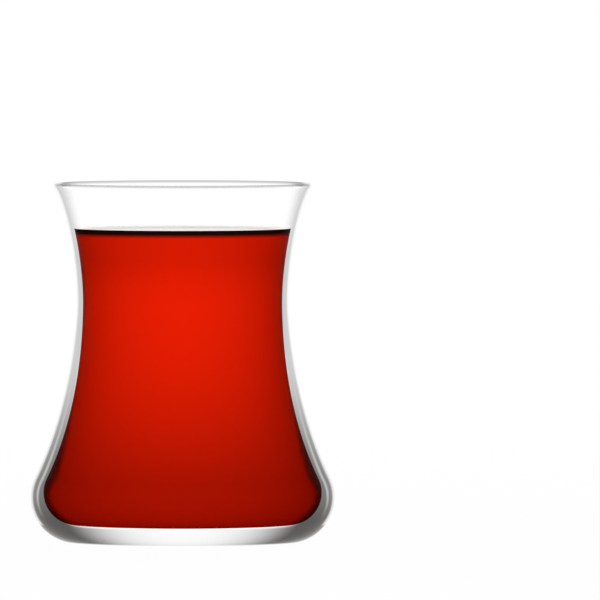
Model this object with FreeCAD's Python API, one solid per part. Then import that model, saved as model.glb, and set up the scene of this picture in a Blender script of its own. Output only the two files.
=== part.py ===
import FreeCAD, Part
import math
import os

# Turkish tea glass: one round, waisted glass body with a thick base and a
# rounded, fire-polished lip, and the tea that stands in it.
# Millimetres. The foot stands on z = 0 and the z axis is the glass's own axis.

# Outside of the glass
height = 80.0            # table to the top of the lip
lip_radius = 28.6        # widest point of the lip
lip_flare = 30.0         # lip leans out from upright, degrees
waist_radius = 23.5      # narrowest point
waist_height = 53.7
belly_radius = 33.8      # widest point
heel_radius = 10.2       # rounding between the foot and the belly
belly_lean = 26.0        # wall leans in above the belly, degrees

# Wall
lip_wall = 1.3
waist_wall = 1.5
belly_wall = 3.0
base_thickness = 3.6     # on the axis
floor_radius = 500.0     # slight dish of the inside floor
inner_heel_radius = 7.0  # rounding between the inside floor and the wall

# Fullness of the two sweeping stretches, as a share of each one's chord
belly_pull = 0.45        # where the body leaves the belly
under_waist_pull = 0.1
over_waist_pull = 0.3
lip_pull = 0.25          # where the neck runs out into the lip

# Tea
space_above_tea = 10.4   # top of the lip down to the flat of the tea
meniscus_rise = 0.35     # tea climbs the wall by this much
meniscus_reach = 0.9     # and leaves the flat this far from the wall


def point(r, z):
    return FreeCAD.Vector(r, 0, z)


def on_arc(centre, radius, degrees):
    a = math.radians(degrees)
    return centre + point(radius * math.cos(a), radius * math.sin(a))


def arc(centre, radius, start, end):
    stops = [on_arc(centre, radius, a) for a in (start, (start + end) / 2, end)]
    return Part.Arc(*stops).toShape()


def sweep(start, start_way, start_pull, end, end_way, end_pull):
    """Smooth curve that leaves start and reaches end along the given directions."""
    chord = start.distanceToPoint(end)
    curve = Part.BezierCurve()
    curve.setPoles([
        start,
        start + start_way * (start_pull * chord),
        end - end_way * (end_pull * chord),
        end,
    ])
    return curve.toShape()


def side(heel_centre, heel, heel_start, waist, lip):
    """Edges of one face of the wall, from the heel up to the lip."""
    belly_end = on_arc(heel_centre, heel, belly_lean)
    belly_way = on_arc(point(0, 0), 1, belly_lean + 90)
    lip_way = on_arc(point(0, 0), 1, 90 - lip_flare)
    up = point(0, 1)
    return [
        arc(heel_centre, heel, heel_start, belly_lean),
        sweep(belly_end, belly_way, belly_pull, waist, up, under_waist_pull),
        sweep(waist, up, over_waist_pull, lip, lip_way, lip_pull),
    ]


def profile(edges):
    """Flat face between a chain of edges and the axis."""
    return Part.Face(Part.Wire(Part.__sortEdges__(edges)))


def turned(face):
    """Solid of the face spun about the axis."""
    solid = face.revolve(point(0, 0), point(0, 1), 360)
    return Part.makeSolid(solid) if solid.ShapeType == "Shell" else solid


def line(a, b):
    return Part.makeLine(a, b)


# Lip: half a circle that joins the outer face to the inner one
lip_centre = point(lip_radius - lip_wall / 2, height - lip_wall / 2)
lip_outer = on_arc(lip_centre, lip_wall / 2, -lip_flare)
lip_inner = on_arc(lip_centre, lip_wall / 2, 180 - lip_flare)
lip_edge = arc(lip_centre, lip_wall / 2, -lip_flare, 180 - lip_flare)

# Outer face, from the flat foot up to the lip
foot_edge = point(belly_radius - heel_radius, 0)
heel_centre = point(belly_radius - heel_radius, heel_radius)
waist_outer = point(waist_radius, waist_height)
outside = side(heel_centre, heel_radius, -90, waist_outer, lip_outer)

# Inner face, from the dished floor up to the lip; the inner heel touches the
# floor's large sphere from inside, so its centre lies on the sphere's radius
floor_centre = point(0, base_thickness + floor_radius)
inner_heel_r = belly_radius - belly_wall - inner_heel_radius
inner_drop = math.sqrt((floor_radius - inner_heel_radius) ** 2 - inner_heel_r ** 2)
inner_heel_centre = point(inner_heel_r, floor_centre.z - inner_drop)
floor_end = math.degrees(math.asin(inner_heel_r / (floor_radius - inner_heel_radius))) - 90
floor = arc(floor_centre, floor_radius, -90, floor_end)
waist_inner = point(waist_radius - waist_wall, waist_height)
inside = side(inner_heel_centre, inner_heel_radius, floor_end, waist_inner, lip_inner)

# Glass body
axis_foot = point(0, 0)
axis_floor = point(0, base_thickness)
glass_face = profile(
    [line(axis_foot, foot_edge), *outside, lip_edge, *inside, floor, line(axis_floor, axis_foot)]
)
tea_glass = turned(glass_face)

# Space inside the glass, up to where the lip starts
axis_lip = point(0, lip_inner.z)
cavity_face = profile([floor, *inside, line(lip_inner, axis_lip), line(axis_lip, axis_floor)])

# Tea: fills that space up to its surface, which is flat and turns up to meet
# the wall
tea_level = height - space_above_tea
contact_height = tea_level + meniscus_rise
across = line(point(0, contact_height), point(lip_radius, contact_height))
contact = point(across.common(cavity_face).Length, contact_height)
meniscus_radius = (meniscus_reach ** 2 + meniscus_rise ** 2) / (2 * meniscus_rise)
meniscus_centre = point(contact.x - meniscus_reach, tea_level + meniscus_radius)
meniscus_end = math.degrees(math.asin(meniscus_reach / meniscus_radius)) - 90
meniscus = arc(meniscus_centre, meniscus_radius, -90, meniscus_end)
flat_end = point(meniscus_centre.x, tea_level)
outer_top = point(belly_radius, contact_height)
outer_foot = point(belly_radius, 0)
below_surface = profile([
    line(axis_foot, outer_foot),
    line(outer_foot, outer_top),
    line(outer_top, contact),
    meniscus,
    line(flat_end, point(0, tea_level)),
    line(point(0, tea_level), axis_foot),
])
tea = turned(cavity_face.common(below_surface).Faces[0])

os.makedirs("parts", exist_ok=True)
for node, shape in (("tea_glass", tea_glass), ("tea", tea)):
    box = shape.BoundBox
    print(node, shape.ShapeType, shape.isValid(), round(shape.Volume, 2), box)
    shape.exportStep(f"parts/{node}.step")
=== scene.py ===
import math

import bmesh
import bpy
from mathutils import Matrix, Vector
from mathutils.geometry import interpolate_bezier


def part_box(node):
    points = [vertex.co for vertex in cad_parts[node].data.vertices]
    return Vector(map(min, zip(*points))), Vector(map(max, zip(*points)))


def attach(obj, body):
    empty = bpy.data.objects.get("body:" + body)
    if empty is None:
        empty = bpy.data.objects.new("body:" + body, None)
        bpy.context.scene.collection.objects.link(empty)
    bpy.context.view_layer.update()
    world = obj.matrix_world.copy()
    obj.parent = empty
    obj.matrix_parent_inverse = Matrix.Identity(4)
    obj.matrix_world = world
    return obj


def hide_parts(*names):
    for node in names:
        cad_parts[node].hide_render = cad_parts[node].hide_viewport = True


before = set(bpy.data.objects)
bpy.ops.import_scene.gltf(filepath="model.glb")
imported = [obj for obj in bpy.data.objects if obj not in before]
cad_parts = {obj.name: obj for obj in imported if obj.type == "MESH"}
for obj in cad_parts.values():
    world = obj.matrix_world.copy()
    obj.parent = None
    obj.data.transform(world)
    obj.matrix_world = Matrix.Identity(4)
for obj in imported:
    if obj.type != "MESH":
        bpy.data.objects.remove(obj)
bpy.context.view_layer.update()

# ---------------------------------------------------------------- glass body
# The glass is one turned body of clear soda-lime glass, pressed and then
# fire-polished at the lip: thick base, round belly, narrow waist, flared neck.
belly_radius, _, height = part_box("tea_glass")[1]
heel_radius = 0.0102
belly_lean = math.radians(26)
waist = (0.0235, 0.0537)
lip_radius = 0.0286
lip_wall = 0.0013
lip_flare = math.radians(30)
waist_wall = 0.0015
belly_wall = 0.0030
base_thickness = 0.0036
floor_radius = 0.5
inner_heel_radius = 0.0070
lower_pulls = (0.45, 0.1)
upper_pulls = (0.3, 0.25)
turns = 160
heel_steps, body_steps, neck_steps, floor_steps, lip_steps = 28, 36, 30, 8, 16


def point(r, z):
    return Vector((r, 0, z))


def way(angle):
    return point(math.cos(angle), math.sin(angle))


def arc(centre, radius, start, end, steps):
    share = [i / steps for i in range(steps + 1)]
    return [centre + way(start + (end - start) * s) * radius for s in share]


def sweep(start, start_way, end, end_way, pulls, steps):
    """Points of a smooth curve that leaves start and reaches end along the given ways."""
    chord = (end - start).length
    first, second = start + start_way * pulls[0] * chord, end - end_way * pulls[1] * chord
    return interpolate_bezier(start, first, second, end, steps)


def side(heel_centre, heel, heel_start, waist_point, lip):
    """Points of one face of the wall, from the heel up to the lip."""
    low = arc(heel_centre, heel, heel_start, belly_lean, heel_steps)
    up = point(0, 1)
    from_belly, to_lip = way(belly_lean + math.pi / 2), way(math.pi / 2 - lip_flare)
    body = sweep(low[-1], from_belly, waist_point, up, lower_pulls, body_steps)
    neck = sweep(waist_point, up, lip, to_lip, upper_pulls, neck_steps)
    return low + body[1:] + neck[1:]


def inner_side(inset):
    """The inside floor and wall, set into the glass by inset."""
    heel = inner_heel_radius + inset
    dish = floor_radius + inset
    centre_r = belly_radius - belly_wall - inner_heel_radius
    centre_z = base_thickness + floor_radius - math.sqrt((dish - heel) ** 2 - centre_r ** 2)
    floor_end = math.asin(centre_r / (dish - heel)) - math.pi / 2
    dish_centre = point(0, base_thickness + floor_radius)
    floor = arc(dish_centre, dish, -math.pi / 2, floor_end, floor_steps)
    narrow = point(waist[0] - waist_wall + inset, waist[1])
    rim = lip_centre + way(math.pi - lip_flare) * (lip_wall / 2 - inset)
    return floor + side(point(centre_r, centre_z), heel, floor_end, narrow, rim)[1:]


def turned(name, points):
    """A mesh object made by spinning a profile about the z axis, closed at its poles."""
    mesh = bmesh.new()
    verts = [mesh.verts.new(p) for p in points]
    edges = [mesh.edges.new(pair) for pair in zip(verts, verts[1:])]
    bmesh.ops.spin(
        mesh, geom=verts + edges, cent=(0, 0, 0), axis=(0, 0, 1),
        angle=math.tau, steps=turns, use_merge=True,
    )
    bmesh.ops.remove_doubles(mesh, verts=mesh.verts, dist=1e-6)
    bmesh.ops.recalc_face_normals(mesh, faces=mesh.faces)
    for face in mesh.faces:
        face.smooth = True
    piece = bpy.data.objects.new(name, bpy.data.meshes.new(name))
    mesh.to_mesh(piece.data)
    mesh.free()
    bpy.context.scene.collection.objects.link(piece)
    return piece


class Socket:
    """A shader value. Arithmetic on it adds the Math nodes."""

    def __init__(self, nodes, socket):
        self.nodes, self.socket = nodes, socket

    def math(self, operation, *values):
        inputs = dict(enumerate(values))
        return self.nodes.add("ShaderNodeMath", {"operation": operation}, inputs)

    def __add__(self, other):
        return self.math("ADD", self, other)

    def __sub__(self, other):
        return self.math("SUBTRACT", self, other)

    def __rsub__(self, other):
        return self.math("SUBTRACT", other, self)

    def __mul__(self, other):
        return self.math("MULTIPLY", self, other)

    def __pow__(self, other):
        return self.math("POWER", self, other)

    __radd__ = __add__
    __rmul__ = __mul__


class Nodes:
    """The nodes of one material or world."""

    def __init__(self, owner, output):
        owner.use_nodes = True
        self.owner, self.tree = owner, owner.node_tree
        self.tree.nodes.clear()
        self.output = self.tree.nodes.new(output)

    def add(self, kind, settings=(), values=(), out=0):
        """Adds a node: its settings, its sockets' values or links, and the output wanted."""
        node = self.tree.nodes.new(kind)
        for name, value in dict(settings).items():
            if name == "stops":
                ramp = node.color_ramp
                while len(ramp.elements) < len(value):
                    ramp.elements.new(1)
                for element, (place, colour) in zip(ramp.elements, value):
                    element.position, element.color = place, (*colour, 1)
            else:
                setattr(node, name, value)
        for name, value in dict(values).items():
            if isinstance(value, Socket):
                self.tree.links.new(value.socket, node.inputs[name])
            else:
                node.inputs[name].default_value = value
        return Socket(self, node.outputs[out])

    def rise(self, value, low, high):
        """0 below low and 1 above high, with a smooth step between."""
        settings = {"interpolation_type": "SMOOTHSTEP"}
        values = {"Value": value, "From Min": low, "From Max": high}
        return self.add("ShaderNodeMapRange", settings, values)

    def object_height(self):
        place = self.add("ShaderNodeTexCoord", out="Object")
        return self.add("ShaderNodeSeparateXYZ", values={0: place}, out="Z")

    def mix(self, share, first, second):
        return self.add("ShaderNodeMixShader", values={0: share, 1: first, 2: second})

    def surface(self, shader):
        self.tree.links.new(shader.socket, self.output.inputs["Surface"])


lip_centre = point(lip_radius - lip_wall / 2, height - lip_wall / 2)
lip_outer = lip_centre + way(-lip_flare) * lip_wall / 2
heel_centre = point(belly_radius - heel_radius, heel_radius)
outside = side(heel_centre, heel_radius, -math.pi / 2, point(*waist), lip_outer)
lip = arc(lip_centre, lip_wall / 2, -lip_flare, math.pi - lip_flare, lip_steps)
profile = [point(0, 0)] + outside + lip[1:-1] + inner_side(0)[::-1]
glass = turned("glass_body", profile)

# Clear glass lets light straight through and mirrors at a glance. Where it is
# seen along its skin it is painted grey, a painted shade for the darker
# surroundings that the bent glass shows there: least at the neck and waist, most
# at the thick heel, and clear at its very edge. A pale line of painted highlight
# runs down inside the belly, a thin line of painted shade rings the lip, and the
# painted shade runs a little over the edge of the tea behind.
neck_from, neck_full = 0.060, 0.070
belly_full, belly_gone = 0.014, 0.042
heel_full, heel_gone = 0.005, 0.012
base_full, base_gone = 0.0038, 0.0046
line_from, line_middle, line_to, line_paleness = 0.66, 0.70, 0.75, 0.4
edge_from, edge_full, edge_clearness = 0.79, 0.88, 0.7
heel_turn = 0.55
lip_line_from, lip_line_full, lip_line_grey = 0.0007, 0.0003, 0.22
foot_clear, foot_full = 0.0001, 0.0006
glance, mirror = 10, 0.99

shell = Nodes(bpy.data.materials.new("polished_glass"), "ShaderNodeOutputMaterial")
along = shell.add("ShaderNodeLayerWeight", values={"Blend": 0.5}, out="Facing")
backs = shell.add("ShaderNodeNewGeometry", out="Backfacing")
z = shell.object_height()
neck = shell.rise(z, neck_from, neck_full)
belly = 1 - shell.rise(z, belly_full, belly_gone)
heel = 1 - shell.rise(z, heel_full, heel_gone)
base = 1 - shell.rise(z, base_full, base_gone)


def by_height(at_neck, at_waist, at_belly, at_heel):
    """An amount that changes down the glass, smoothly from one part to the next."""
    amount = at_waist + neck * (at_neck - at_waist) + belly * (at_belly - at_waist)
    return amount + heel * (at_heel - at_belly)


painted_shade = by_height(at_neck=0.40, at_waist=0.42, at_belly=0.84, at_heel=0.93)
start = by_height(at_neck=0.52, at_waist=0.56, at_belly=0.48, at_heel=0.40)
end = by_height(at_neck=0.80, at_waist=0.66, at_belly=0.57, at_heel=0.52)

# The heel rounds under the glass, so in the solid base the grey is measured from
# how far the heel there has tipped away from upright.
tipped = shell.add("ShaderNodeMath", {"operation": "SUBTRACT", "use_clamp": True},
                   {0: 1.0, 1: z * (1 / heel_radius)})
upright = (1 - tipped ** 2) ** 0.5
start = start * (1 - base) + (1 - upright) * base
end = end * (1 - base) + (1 - upright * heel_turn) * base

# A pale line of painted highlight where the painted shade lifts, and a grey line of painted shade
# along the lip.
painted_highlight_line = shell.rise(along, line_from, line_middle) * (1 - shell.rise(along, line_middle, line_to))
edge = shell.rise(along, edge_from, edge_full) * (1 - base)
painted_lip_shade = shell.rise(z, height - lip_line_from, height - lip_line_full) * lip_line_grey
foot = shell.rise(z, foot_clear, foot_full)
painted_shade = painted_shade * (1 - painted_highlight_line * belly * (1 - heel) * line_paleness)
painted_shade = painted_shade * shell.rise(along, start, end) * (1 - edge * edge_clearness)
painted_shade = painted_shade * foot * (1 - backs) + painted_lip_shade
clear = shell.add("ShaderNodeBsdfTransparent", values={"Color": (1, 1, 1, 1)})
# The painted shade shows as a dark see-through tint.
painted_shade_tint = shell.add("ShaderNodeBsdfTransparent", values={"Color": (0.04, 0.035, 0.03, 1)})
body = shell.mix(painted_shade, clear, painted_shade_tint)
inner = Nodes(bpy.data.materials.new("inner_glass"), "ShaderNodeOutputMaterial")
plain = inner.add("ShaderNodeBsdfTransparent", values={"Color": (1, 1, 1, 1)})
for skin, seen in ((shell, body), (inner, plain)):
    facing = skin.add("ShaderNodeLayerWeight", values={"Blend": 0.5}, out="Facing")
    polish = {"Color": (1, 1, 1, 1), "Roughness": 0.0}
    polish = skin.add("ShaderNodeBsdfGlossy", values=polish)
    skin.surface(skin.mix(facing ** glance * mirror, seen, polish))
    glass.data.materials.append(skin.owner)
for face in glass.data.polygons:
    inwards = face.normal.dot(face.center * Vector((1, 1, 0))) < 0
    between = base_thickness / 2 < face.center.z < height - lip_wall / 2
    face.material_index = int(inwards and between)
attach(glass, "root")
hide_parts("tea_glass")

# ----------------------------------------------------------------------- tea
# Brewed black tea, clear and deep red, poured to a finger below the lip. It
# fills the inside to the wall and turns up where it wets the glass.
tea_level = height - 0.0104
meniscus_rise = 0.00035
meniscus_reach = 0.0009
meniscus_steps = 10
into_wall = 0.00012

contact_height = tea_level + meniscus_rise
wall = inner_side(into_wall)
above = next(i for i, p in enumerate(wall) if p.z > contact_height)
share = (contact_height - wall[above - 1].z) / (wall[above].z - wall[above - 1].z)
contact = wall[above - 1].lerp(wall[above], share)
meniscus_radius = (meniscus_reach ** 2 + meniscus_rise ** 2) / (2 * meniscus_rise)
meniscus_centre = point(contact.x - meniscus_reach, tea_level + meniscus_radius)
meniscus_end = math.asin(meniscus_reach / meniscus_radius) - math.pi / 2
meniscus = arc(meniscus_centre, meniscus_radius, meniscus_end, -math.pi / 2, meniscus_steps)
tea = turned("tea_drink", wall[:above] + meniscus + [point(0, tea_level)])

drink = Nodes(bpy.data.materials.new("brewed_tea"), "ShaderNodeOutputMaterial")
z = drink.object_height()
# The wider the tea, the more of the light it keeps. Towards its surface it is
# darker, a painted shade, and the last of it under the surface is a black band of
# painted shade, as it looks from the side.
tea_red, tea_depth = (0.86, 0.0140, 0.0010), 0.0255
top_shade, top_reach = 0.22, 0.014
black_from, black_full = 0.00135, 0.00065
painted_band_shade = (0.012, 0.003, 0.002)
tone_every = 6
wetted = wall[floor_steps + 1:above]
narrowest = min(p.x for p in wetted)


def tone(p):
    kept = math.exp((narrowest - p.x) * 2 / tea_depth)
    near_top = max(0, 1 - (tea_level - p.z) / top_reach)
    return p.z / height, [part * kept * (1 - top_shade * near_top) for part in tea_red]


tones = [tone(p) for p in wetted[::tone_every] if p.z < tea_level - 2 * black_from]
# The stops end in the black band of painted shade just under the surface.
tones += [((tea_level - black_from) / height, tones[-1][1]),
          ((tea_level - black_full) / height, painted_band_shade)]
colour = drink.add("ShaderNodeValToRGB", {"stops": tones}, {0: z * (1 / height)})
drink.surface(drink.add("ShaderNodeBsdfPrincipled", values={
    "Base Color": colour, "Roughness": 0.5, "IOR": 1.33, "Specular IOR Level": 0.0}))
tea.data.materials.append(drink.owner)

# Its open surface is still and mirrors the room. Where it thins out up the wall
# it turns pale, partly as a thin film does and partly as painted light, and it
# glows with painted light that stands in for the light coming through it.
open_slope = 0.6
still = Nodes(bpy.data.materials.new("tea_surface"), "ShaderNodeOutputMaterial")
thin_film_and_painted_light = ((0, (0.40, 0.022, 0.004)), (0.06, (0.95, 0.85, 0.72)), (1, (1.00, 0.98, 0.95)))
climb = (still.object_height() - tea_level) * (1 / meniscus_rise)
colour = still.add("ShaderNodeValToRGB", {"stops": thin_film_and_painted_light}, {0: climb})
# Painted light: the climbing edge glows though it is no lamp.
lit = ((0, (0, 0, 0)), (0.06, (0.30, 0.29, 0.27)), (1, (0.35, 0.34, 0.33)))
glow = still.add("ShaderNodeValToRGB", {"stops": lit}, {0: climb})
still.surface(still.add("ShaderNodeBsdfPrincipled", values={
    "Base Color": colour, "Roughness": 0.02, "IOR": 1.33,
    "Emission Color": glow, "Emission Strength": 1.0}))
tea.data.materials.append(still.owner)
for face in tea.data.polygons:
    face.material_index = int(face.normal.z > open_slope)
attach(tea, "root")
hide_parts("tea")

# --------------------------------------------------------------------- stage
# A white table under a white room: the room is white to look at and in the
# glass, and lights the drink softly; two broad soft boxes do the rest.
table_radius, table_drop, table_glow = 0.9, 0.0001, 0.985
room_fill = 0.06
box_size, box_distance = 0.7, 1.2
soft_boxes = (("key", -1, 8, 12.4), ("back", 180, 25, 8.0))

scene = bpy.context.scene
scene.view_settings.view_transform = "Standard"


def looked_at(nodes):
    """1 for what is seen directly, in a mirror or through glass, and 0 for its light."""
    rays = [nodes.add("ShaderNodeLightPath", out=f"Is {kind} Ray")
            for kind in ("Camera", "Glossy", "Transmission")]
    return rays[0] + rays[1] + rays[2]


table_mesh = bmesh.new()
bmesh.ops.create_circle(table_mesh, cap_ends=True, segments=96, radius=table_radius)
bmesh.ops.translate(table_mesh, verts=table_mesh.verts, vec=(0, 0, -table_drop))
table = bpy.data.objects.new("table", bpy.data.meshes.new("table"))
table_mesh.to_mesh(table.data)
table_mesh.free()
scene.collection.objects.link(table)
top = Nodes(bpy.data.materials.new("table_white"), "ShaderNodeOutputMaterial")
paper = top.add("ShaderNodeBsdfDiffuse", values={"Color": (0.85, 0.85, 0.85, 1)})
light = top.add("ShaderNodeEmission", values={"Color": (1, 1, 1, 1), "Strength": 1.0})
top.surface(top.mix(looked_at(top) * table_glow, paper, light))
table.data.materials.append(top.owner)

scene.world = bpy.data.worlds.new("room")
room = Nodes(scene.world, "ShaderNodeOutputWorld")
room.surface(room.add("ShaderNodeBackground", values={
    "Color": (1, 1, 1, 1), "Strength": looked_at(room) * (1 - room_fill) + room_fill}))

for name, azimuth, elevation, power in soft_boxes:
    lamp = bpy.data.lights.new(name, "AREA")
    lamp.shape, lamp.size, lamp.energy = "DISK", box_size, power
    stand = bpy.data.objects.new(name, lamp)
    a, e = math.radians(azimuth), math.radians(elevation)
    out = Vector((math.sin(a) * math.cos(e), -math.cos(a) * math.cos(e), math.sin(e)))
    stand.location = out * box_distance + Vector((0, 0, height / 2))
    stand.rotation_euler = out.to_track_quat("Z", "Y").to_euler()
    stand.visible_glossy = False
    scene.collection.objects.link(stand)

# -------------------------------------------------------------------- camera
# From far off and a little above the lip, with the glass left of the middle.
camera = bpy.data.objects.new("camera", bpy.data.cameras.new("camera"))
scene.collection.objects.link(camera)
scene.camera = camera
camera.data.lens = 1400
camera.data.sensor_width = 36
seen_width = 0.13333
distance = seen_width * camera.data.lens / camera.data.sensor_width
elevation = math.radians(1.6)
aim = Vector((0.02609, 0, 0.0540))
back = Vector((0, -math.cos(elevation), math.sin(elevation)))
camera.location = aim + back * distance
camera.rotation_euler = back.to_track_quat("Z", "Y").to_euler()
camera.data.clip_start, camera.data.clip_end = 0.5, 20
